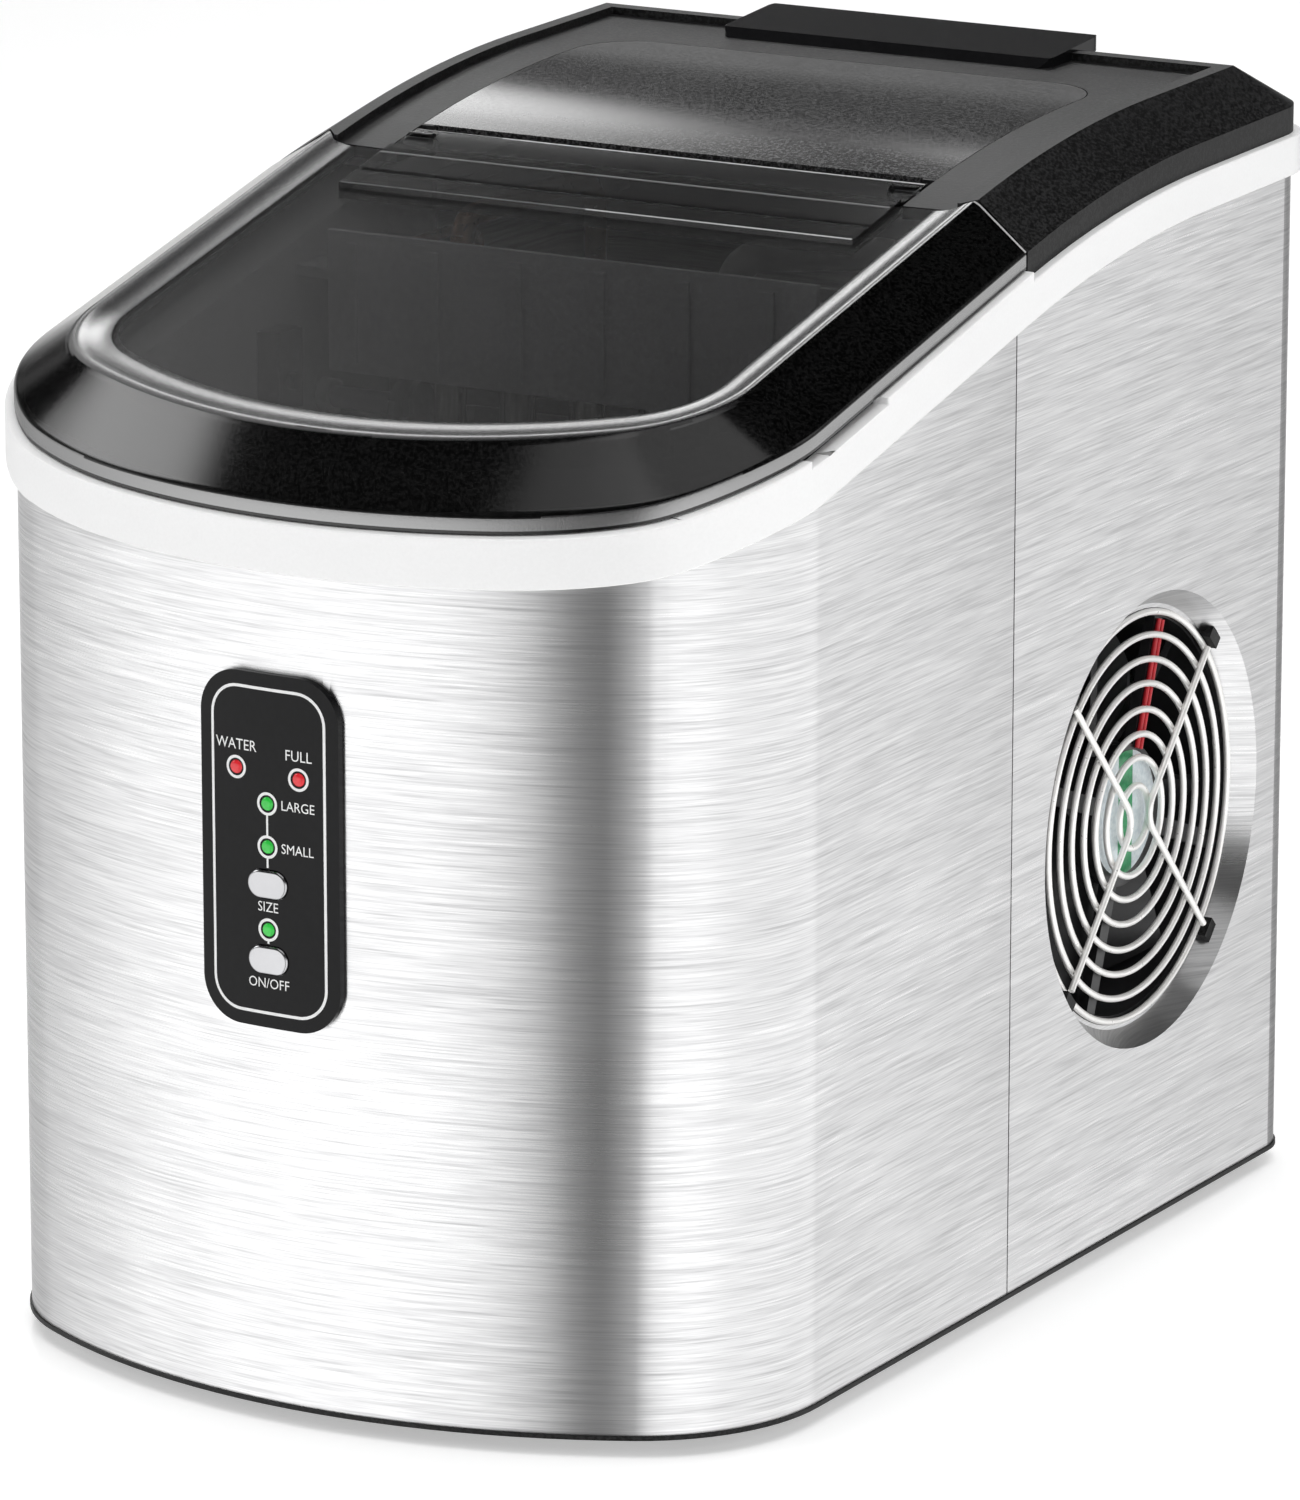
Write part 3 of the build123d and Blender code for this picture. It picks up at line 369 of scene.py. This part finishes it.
def lid_loops():
    """Closed cross-section of the lid frame: skirt, glossy shoulder, rounded bead, and the inside."""
    def at(side, front, height):
        return [(x, y, height(y)) for x, y in front_path(side, front, lid_end)]

    def shoulder(share):
        """share 0 is the outer edge of the shoulder, 1 is the ridge."""
        side = LID_OUT + (RIDGE_SIDE - LID_OUT) * share
        front = LID_OUT + (RIDGE_FRONT - LID_OUT) * share
        flat = front_path(side, front, lid_end)
        foot = front_path(LID_OUT, LID_OUT, lid_end)
        crest = front_path(RIDGE_SIDE, RIDGE_FRONT, lid_end)
        loop = []
        for (x, y), (_, y0), (_, y1) in zip(flat, foot, crest):
            z0 = band_line(y0) + SHOULDER
            z1 = base_line(y1) + RIDGE
            loop.append((x, y, z0 + (z1 - z0) * share))
        return loop

    skirt = at(LID_OUT, LID_OUT, lambda y: band_line(y) + SKIRT_FOOT)
    groove = at(LID_OUT, LID_OUT, lambda y: band_line(y) + GROOVE)
    skirt_top = at(LID_OUT, LID_OUT, lambda y: band_line(y) + SHOULDER - 0.7)
    rounding = at(-0.28, -0.28, lambda y: band_line(y) + SHOULDER - 0.15)
    loops = [skirt, groove, skirt_top, rounding, shoulder(0.04), shoulder(0.07)]
    loops += [shoulder(0.3), shoulder(0.6), shoulder(0.90), shoulder(0.93)]
    bead = [(16.6, 12.6, -0.22), (17.2, 13.3, -0.05), (18.2, 14.6, 0.0), (19.2, 15.9, -0.22),
            (20.6, 17.8, -0.75), (22.4, 20.2, -1.35), (24.2, 22.7, -1.8), (26.0, 25.2, -2.08),
            (27.5, 27.5, -2.15)]
    for side, front, rise in bead:
        loops.append(at(side, front, lambda y, rise=rise: base_line(y) + RIDGE + rise))
    loops.append(at(27.5, 27.5, lambda y: base_line(y) + RIDGE - 4.6))
    loops.append(at(20.0, 18.0, lambda y: base_line(y) + RIDGE - 3.2))
    loops.append(at(3.2, 3.2, lambda y: band_line(y) + 16.4))
    loops.append(at(2.0, 2.0, lambda y: band_line(y) + SKIRT_FOOT))
    return loops


def lid():
    """The lid's moulding, with a satin strip round its skirt and a satin bead round the window."""
    strip, bead = 1, 2
    bead_side, bead_front, bead_depth = 100.9, -162.0, 2.0
    verts, faces = skin(lid_loops(), closed_profile=True)
    made = build("lid_moulding", verts, faces, smoked_frame, "lid", crease=28.0)
    made.data.materials.append(satin_edge)
    made.data.materials.append(bead_edge)
    for face in made.data.polygons:
        middle = face.center / MM
        below_crest = base_line(middle.y) + RIDGE - middle.z
        upright = abs(face.normal.z) < 0.35 and face.normal.x * middle.x + face.normal.y * middle.y > 0
        inside = abs(middle.x) < bead_side and middle.y > bead_front
        on_bead = face.normal.z > 0.7 and inside and -0.1 < below_crest < bead_depth
        if upright and SHOULDER > middle.z - band_line(middle.y) > GROOVE:
            face.material_index = strip
        if on_bead:
            face.material_index = bead
    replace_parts(made, "lid_frame")


lid()


def bar_line(name, y, rise, width, left, right, material, steps=40):
    """A low ridge across the hinge bar, coloured as a painted highlight where one of its steps catches the
    light.
    """
    section = [(-width / 2, -0.05), (-width / 4, 0.10), (width / 4, 0.10), (width / 2, -0.05)]
    loops = []
    for across, lift in section:
        place = y + across
        height = base_line(place) + rise + lift
        loops.append([(left + (right - left) * step / steps, place, height) for step in range(steps + 1)])
    verts, faces = skin(loops, closed_profile=True)
    build(name, verts, faces, material, "lid")


def seam_edge():
    """The lid's cut edge at the right of the seam, from the ridge down to the skirt, as a light strip: a
    painted highlight.
    """
    inner = []
    outer = []
    steps = 12
    for step in range(steps + 1):
        share = step / steps
        x = 118.5 - 17.5 * share
        end = lid_end(x)
        z0 = band_line(end) + SHOULDER
        z1 = base_line(end) + RIDGE
        height = z0 + (z1 - z0) * share + 0.10
        outer.append((x + 0.05, end - 0.02, height + 0.02))
        inner.append((x + 0.05, end - 0.75, height - 0.15))
    verts, faces = skin([outer, inner], closed_profile=False)
    build("seam_edge", verts, faces, painted_highlight_edge, "lid")


# Edge strips in two greys: a light grey as a painted highlight, and a dim grey as a faint painted highlight
# where an edge catches little light.
painted_highlight_edge = plastic("painted_highlight_edge", (0.36, 0.36, 0.36), 0.22, 2200.0, 0.00002, 0.3, 1.5)
faint_painted_highlight_edge = plastic("faint_painted_highlight_edge", (0.075, 0.075, 0.076), 0.30, 2200.0, 0.00002, 0.4, 1.4)
BAR_END = 79.6
# Name, place along the depth, drop below the ridge, width, left end, right end, and the painted highlight:
# bright on the run that catches the light, faint on the rest.
BAR_LINES = (
    ("bar_rear_edge", 19.6, 2.0, 0.7, -52.0, BAR_END, painted_highlight_edge),
    ("bar_rear_edge_left", 19.6, 2.0, 0.7, -BAR_END, -52.0, faint_painted_highlight_edge),
    ("bar_step", 0.3, 0.8, 1.1, -BAR_END, BAR_END, faint_painted_highlight_edge),
    ("bar_front_edge", -20.5, 0.8, 0.8, -2.0, BAR_END, painted_highlight_edge),
    ("bar_front_edge_left", -20.5, 0.8, 0.8, -BAR_END, -2.0, faint_painted_highlight_edge),
)
for name, y, drop, width, left, right, highlight_paint in BAR_LINES:
    bar_line(name, y, RIDGE - drop, width, left, right, highlight_paint)
seam_edge()


def weld(piece):
    """Join a CAD node's faces where they meet."""
    weld_faces = piece.modifiers.new("weld", "WELD")
    weld_faces.merge_threshold = WELD_GAP


def even_shading(piece, weight):
    smooth = piece.modifiers.new("even", "WEIGHTED_NORMAL")
    smooth.keep_sharp = False
    smooth.weight = weight


def soften(node, width):
    """Weld and round the edges of a CAD node as the moulded or pressed piece has them."""
    piece = nodes[node]
    weld(piece)
    bevel = piece.modifiers.new("bevel", "BEVEL")
    bevel.width = width * MM
    bevel.segments = 3
    bevel.limit_method = "ANGLE"
    bevel.angle_limit = math.radians(30.0)
    bevel.use_clamp_overlap = True
    even_shading(piece, 80)


def even(node):
    """Weld a CAD sheet's faces so that its shading runs on over the joins."""
    piece = nodes[node]
    weld(piece)
    even_shading(piece, 50)


even("front_shell")
for node, width in (("top_cover", 0.5), ("badge_bar", 0.6), ("lid_hinge_bar", 0.3), ("control_bezel", 0.35),
                    ("trim_band", 0.5), ("cover_panel", 0.15)):
    soften(node, width)


# ---------------------------------------------------------------- control panel
PANEL_LO, PANEL_HI = (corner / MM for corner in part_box("control_bezel"))
PANEL_X = (PANEL_LO.x + PANEL_HI.x) / 2
PANEL_Z = (PANEL_LO.z + PANEL_HI.z) / 2
PANEL_WIDE = PANEL_HI.x - PANEL_LO.x
PANEL_TALL = PANEL_HI.z - PANEL_LO.z
FACE_RADIUS = FRONT_RADIUS + 2.0
FACE_CENTRE_Y = FRONT_RADIUS - HALF_LENGTH
PRINT_LIFT = 0.15
WORD_WIDTH = 0.92

white_ink = plastic("white_ink", (0.82, 0.82, 0.82), 0.45, 1500.0, 0.00001, 0.04)


def face_y(x, lift):
    """The panel's bowed face at x, lifted off it."""
    return FACE_CENTRE_Y - math.sqrt((FACE_RADIUS + lift) ** 2 - x ** 2)


def print_bands(name, bands):
    """Printed closed or open bands; each is two lines of (x, z) points, outer and inner."""
    verts = []
    faces = []
    for outer, inner, closed in bands:
        first = len(verts)
        for x, z in outer + inner:
            verts.append((x, face_y(x, PRINT_LIFT), z))
        count = len(outer)
        for j in range(count if closed else count - 1):
            nxt = (j + 1) % count
            faces.append((first + j, first + nxt, first + count + nxt, first + count + j))
    build(name, verts, faces, white_ink, "cabinet")


def rounded(grow, corner, steps=10):
    """The panel's outline, grown or shrunk, with rounded corners, in runs short enough to follow the bow."""
    wide = PANEL_WIDE / 2 + grow - corner
    tall = PANEL_TALL / 2 + grow - corner
    points = []
    for sx, sz, start in ((1, 1, 0), (-1, 1, 90), (-1, -1, 180), (1, -1, 270)):
        for step in range(steps + 1):
            angle = math.radians(start + 90 * step / steps)
            x = PANEL_X + sx * wide + corner * math.cos(angle)
            z = PANEL_Z + sz * tall + corner * math.sin(angle)
            points.append((x, z))
    fine = []
    for (x0, z0), (x1, z1) in zip(points, points[1:] + points[:1]):
        parts = max(1, int(math.hypot(x1 - x0, z1 - z0) / 2.0))
        fine += [(x0 + (x1 - x0) * k / parts, z0 + (z1 - z0) * k / parts) for k in range(parts)]
    return fine


def circle(x, z, radius, steps=32):
    turns = [2 * math.pi * step / steps for step in range(steps)]
    return [(x + radius * math.cos(turn), z + radius * math.sin(turn)) for turn in turns]


def lamp_places(node, count):
    """Centres of the lamps of a node, from its mesh: clusters by height and side."""
    found = []
    for vert in nodes[node].data.vertices:
        x, z = vert.co.x / MM, vert.co.z / MM
        for spot in found:
            if math.hypot(spot[0] / spot[2] - x, spot[1] / spot[2] - z) < 5.0:
                spot[0] += x
                spot[1] += z
                spot[2] += 1
                break
        else:
            found.append([x, z, 1])
    return [(x / n, z / n) for x, z, n in found][:count]


def lens(name, spots, material):
    """Domed lamp lenses standing through the panel."""
    verts = []
    faces = []
    profile = [(1.8, 0.9), (1.8, -0.05), (1.66, -0.3), (1.3, -0.52), (0.8, -0.66), (0.3, -0.7)]
    steps = 24
    for x, z in spots:
        first = len(verts)
        for radius, out in profile:
            for px, pz in circle(x, z, radius, steps):
                verts.append((px, face_y(x, 0.0) + out, pz))
        for k in range(len(profile) - 1):
            for j in range(steps):
                nxt = (j + 1) % steps
                low = first + k * steps
                faces.append((low + j, low + nxt, low + steps + nxt, low + steps + j))
        last = first + (len(profile) - 1) * steps
        faces.append(tuple(last + j for j in range(steps)))
    return build(name, verts, faces, material, "cabinet")


def label(name, words, x, z, size, align="CENTER"):
    """A printed function word, laid on the bowed face."""
    data = bpy.data.curves.new(name + "_line", "FONT")
    data.body = words
    data.size = size
    data.align_x = align
    data.align_y = "CENTER"
    data.space_line = 0.8
    data.resolution_u = 3
    line = bpy.data.objects.new(name + "_line", data)
    bpy.context.scene.collection.objects.link(line)
    bpy.context.view_layer.update()
    flat = bpy.data.meshes.new_from_object(line.evaluated_get(bpy.context.evaluated_depsgraph_get()))
    verts = []
    for vert in flat.vertices:
        px = x + vert.co.x * WORD_WIDTH
        verts.append((px, face_y(px, PRINT_LIFT), z + vert.co.y))
    faces = [tuple(face.vertices) for face in flat.polygons]
    bpy.data.objects.remove(line)
    build(name, verts, faces, white_ink, "cabinet")


warnings = lamp_places("warning_lamps", 2)
statuses = sorted(lamp_places("status_lamps", 3), key=lambda spot: -spot[1])
KEY_LO, KEY_HI = (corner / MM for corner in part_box("cube_size_button"))
POWER_LO, POWER_HI = (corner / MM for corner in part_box("power_button"))
KEY_X = (KEY_LO.x + KEY_HI.x) / 2
KEY_Z = (KEY_LO.z + KEY_HI.z) / 2
POWER_Z = (POWER_LO.z + POWER_HI.z) / 2


def panel_print():
    """The panel's frame line, the rings round the lamps, the lines that join them, lenses and words."""
    ring_outer, ring_inner, half_line, lamp_gap, key_gap = 3.1, 2.35, 0.3, 3.0, 4.4
    bands = [(rounded(-3.6, 8.6), rounded(-4.4, 7.8), True)]
    for x, z in warnings + statuses:
        bands.append((circle(x, z, ring_outer), circle(x, z, ring_inner), True))
    runs = ((statuses[0][1] - lamp_gap, statuses[1][1] + lamp_gap),
            (statuses[1][1] - lamp_gap, KEY_Z + key_gap),
            (statuses[2][1] - lamp_gap, POWER_Z + key_gap))
    for high, low in runs:
        left_side = [(KEY_X - half_line, high), (KEY_X - half_line, low)]
        right_side = [(KEY_X + half_line, high), (KEY_X + half_line, low)]
        bands.append((left_side, right_side, False))
    print_bands("panel_print", bands)
    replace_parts(lens("warning_lenses", warnings, lamp_red), "warning_lamps")
    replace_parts(lens("status_lenses", statuses, lamp_green), "status_lamps")
    left, right = sorted(warnings)
    label("word_water", "WATER", left[0], left[1] + 6.0, 4.1)
    label("word_full", "FULL", right[0], right[1] + 6.0, 4.1)
    label("word_large", "LARGE", KEY_X + 4.2, statuses[0][1], 3.7, "LEFT")
    label("word_small", "SMALL", KEY_X + 4.2, statuses[1][1], 3.7, "LEFT")
    label("word_size", "SIZE", KEY_X, KEY_Z - 6.2, 3.8)
    label("word_on_off", "ON/OFF", KEY_X, POWER_Z - 6.4, 3.8)


panel_print()


# ---------------------------------------------------------------- fan hub label
def hub_label():
    """Round paper label on the fan's fixed hub: pale with a green stripe, no lettering."""
    s = Shade("hub_paper")
    where = s.node("ShaderNodeSeparateXYZ", {"Vector": s.place()})
    middle = sum(corner.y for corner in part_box("fan_rotor")) / 2
    across = s.math("ABSOLUTE", s.math("SUBTRACT", where.outputs["Y"], middle), 0.0)
    half_stripe = 0.0042
    stripe = s.math("LESS_THAN", across, half_stripe)
    fine = s.noise(s.place(), 900.0, 2.0)
    paper = s.ramp(fine, [(0.3, (0.62, 0.70, 0.74)), (0.7, (0.80, 0.86, 0.88))])
    green = s.ramp(fine, [(0.3, (0.02, 0.24, 0.09)), (0.7, (0.04, 0.36, 0.14))])
    blend = s.node("ShaderNodeMix", {"Factor": stripe}, data_type="RGBA")
    s.feed(blend.inputs["A"], paper)
    s.feed(blend.inputs["B"], green)
    s.set(Base_Color=blend.outputs["Result"], Roughness=0.35)
    hub_lo, hub_hi = (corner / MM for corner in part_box("fan_rotor"))
    y = (hub_lo.y + hub_hi.y) / 2
    z = (hub_lo.z + hub_hi.z) / 2
    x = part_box("fan_lead")[0].x / MM
    steps = 48
    rings = ((17.6, 0.02), (17.5, 0.14), (9.0, 0.16), (0.5, 0.16))
    last = (len(rings) - 1) * steps
    verts = []
    for radius, lift in rings:
        for step in range(steps):
            turn = 2 * math.pi * step / steps
            verts.append((x + lift, y + radius * math.cos(turn), z + radius * math.sin(turn)))
    faces = []
    for k in range(len(rings) - 1):
        for j in range(steps):
            nxt = (j + 1) % steps
            faces.append((k * steps + j, k * steps + nxt, (k + 1) * steps + nxt, (k + 1) * steps + j))
    faces.append(tuple(last + j for j in range(steps)))
    build("hub_label", verts, faces, s.material, "cabinet")


hub_label()


# ---------------------------------------------------------------- studio
def floor():
    """White worktop that is seen but doesn't mirror in the steel."""
    mesh = bpy.data.meshes.new("floor")
    form = bmesh.new()
    bmesh.ops.create_grid(form, x_segments=1, y_segments=1, size=30.0)
    form.to_mesh(mesh)
    form.free()
    made = bpy.data.objects.new("floor", mesh)
    bpy.context.scene.collection.objects.link(made)
    s = Shade("floor_white")
    slow = s.noise(s.place(), 1.5, 2.0)
    s.set(Base_Color=s.ramp(slow, [(0.3, 0.90), (0.7, 0.93)]), Roughness=0.16, IOR=1.35)
    s.set(Emission_Color=(1.0, 1.0, 1.0, 1.0), Emission_Strength=0.42)
    mesh.materials.append(s.material)
    made.visible_glossy = False


def lamp(name, place, target, size, power):
    """Soft rectangular light that neither the camera nor the steel sees."""
    data = bpy.data.lights.new(name, "AREA")
    data.shape = "RECTANGLE"
    data.size, data.size_y = size
    data.energy = power
    made = bpy.data.objects.new(name, data)
    bpy.context.scene.collection.objects.link(made)
    made.location = place
    made.rotation_euler = (Vector(target) - Vector(place)).to_track_quat("-Z", "Y").to_euler()
    made.visible_glossy = False
    made.visible_camera = False


# A colour ramp holds levels from 0 to 1, so they are stored as a share of this one.
BRIGHTEST = 4.0
# Compass direction from the front, towards the right, in degrees, and how bright the surround is there.
AROUND = [(-180, 0.35), (-164, 0.6), (-150, 1.15), (-128, 0.65), (-102, 0.8), (-87, 1.05),
          (-71, 1.37), (-60, 1.58), (-47, 1.8), (-26, 1.95), (-7, 1.8), (0, 1.62), (6, 1.32), (12, 0.85),
          (16, 0.45), (19, 0.12), (23, 0.12), (27, 0.62), (31, 1.0), (37, 1.5), (48, 1.8), (64, 1.85),
          (82, 1.62), (133, 1.42), (151, 1.6), (153, 1.35), (155, 0.8), (157, 0.45), (166, 0.4), (180, 0.35)]
# From 0 straight down, through 0.5 level, to 1 straight up, and the share of that brightness.
UPWARD = [(0.0, 1.0), (0.53, 1.0), (0.58, 0.55), (0.63, 0.12), (0.70, 0.03), (1.0, 0.02)]
# Round soft boxes: direction, elevation, where the edge starts and stops to fade, in degrees; brightness.
BOXES = [(-74, 32, 8, 15, 4.4),
         (-154, 37, 3.5, 7.5, 9.0),
         (130, 30, 7, 13, 0.8),
         (-122, 34, 12, 18.5, 0.9),
         (-142, 24, 3, 5.5, 6.5),
         (50, 72, 25.5, 27.5, 0.9),
         (14, 58, 3, 8, 0.8),
         (-150, 26, 0.9, 1.6, 3.4)]


def studio_world():
    """White surround for the eye; for gloss, tall soft boxes with dark gaps, by compass direction."""
    world = bpy.data.worlds.new("studio")
    world.use_nodes = True
    bpy.context.scene.world = world
    tree = world.node_tree
    tree.nodes.clear()
    link = tree.links.new

    def made(kind, *feeds, **settings):
        node = tree.nodes.new(kind)
        for key, value in settings.items():
            setattr(node, key, value)
        for socket, value in feeds:
            if isinstance(value, bpy.types.NodeSocket):
                link(value, node.inputs[socket])
            else:
                node.inputs[socket].default_value = value
        return node.outputs[0]

    def calc(kind, a, b):
        return made("ShaderNodeMath", (0, a), (1, b), operation=kind)

    def ramp(fac, stops):
        node = tree.nodes.new("ShaderNodeValToRGB")
        link(fac, node.inputs["Fac"])
        while len(node.color_ramp.elements) < len(stops):
            node.color_ramp.elements.new(0.5)
        for element, (at, level) in zip(node.color_ramp.elements, stops):
            element.position = at
            share = level / BRIGHTEST
            element.color = (share, share, share, 1.0)
        return calc("MULTIPLY", node.outputs["Color"], BRIGHTEST)

    where = tree.nodes.new("ShaderNodeTexCoord").outputs["Generated"]
    split = tree.nodes.new("ShaderNodeSeparateXYZ")
    link(where, split.inputs[0])
    turn = calc("ARCTAN2", split.outputs["X"], calc("MULTIPLY", split.outputs["Y"], -1.0))
    share = calc("ADD", calc("DIVIDE", turn, 2 * math.pi), 0.5)
    around = ramp(share, [(degrees / 360 + 0.5, level) for degrees, level in AROUND])
    rise = calc("ADD", calc("MULTIPLY", split.outputs["Z"], 0.5), 0.5)
    level = calc("MULTIPLY", around, ramp(rise, UPWARD))
    for azimuth, elevation, inner, outer, strength in BOXES:
        a, e = math.radians(azimuth), math.radians(elevation)
        towards = (math.sin(a) * math.cos(e), -math.cos(a) * math.cos(e), math.sin(e))
        product = made("ShaderNodeVectorMath", (0, where), (1, towards), operation="DOT_PRODUCT")
        near = product.node.outputs["Value"]
        spot = tree.nodes.new("ShaderNodeMapRange")
        spot.interpolation_type = "SMOOTHSTEP"
        link(near, spot.inputs["Value"])
        spot.inputs["From Min"].default_value = math.cos(math.radians(outer))
        spot.inputs["From Max"].default_value = math.cos(math.radians(inner))
        spot.inputs["To Max"].default_value = strength
        level = calc("ADD", level, spot.outputs["Result"])
    gloss = made("ShaderNodeBackground", ("Color", level), ("Strength", 1.0))
    plain = made("ShaderNodeBackground", ("Color", (1.0, 1.0, 1.0, 1.0)), ("Strength", 1.0))
    camera_ray = made("ShaderNodeLightPath")
    both = made("ShaderNodeMixShader", (0, camera_ray), (1, gloss), (2, plain))
    link(both, tree.nodes.new("ShaderNodeOutputWorld").inputs["Surface"])
    world.cycles_visibility.diffuse = False


def camera():
    data = bpy.data.cameras.new("camera")
    data.sensor_width = 36.0
    data.lens = 215.55
    data.clip_start = 0.05
    data.clip_end = 60.0
    made = bpy.data.objects.new("camera", data)
    bpy.context.scene.collection.objects.link(made)
    turn, rise = math.radians(30.22), math.radians(14.57)
    back = Vector((math.sin(turn) * math.cos(rise), -math.cos(turn) * math.cos(rise), math.sin(rise)))
    made.location = (1.2049, -2.0582, 0.7634)
    made.rotation_mode = "QUATERNION"
    made.rotation_quaternion = (-back).to_track_quat("-Z", "Y")
    bpy.context.scene.camera = made


floor()
studio_world()
lamp("overhead", (0.0, 0.0, 2.4), (0, 0, 0), (3.0, 3.0), 62.0)
lamp("front_left", (-1.9, -1.6, 1.1), (0, 0, 0.15), (1.6, 1.6), 20.0)
lamp("front_right", (2.1, -1.0, 1.0), (0, 0, 0.15), (1.6, 1.6), 20.0)
lamp("behind", (0.4, 2.4, 1.3), (0, 0, 0.15), (2.0, 1.6), 20.0)
camera()

scene = bpy.context.scene
scene.view_settings.view_transform = "Standard"
scene.view_settings.look = "None"
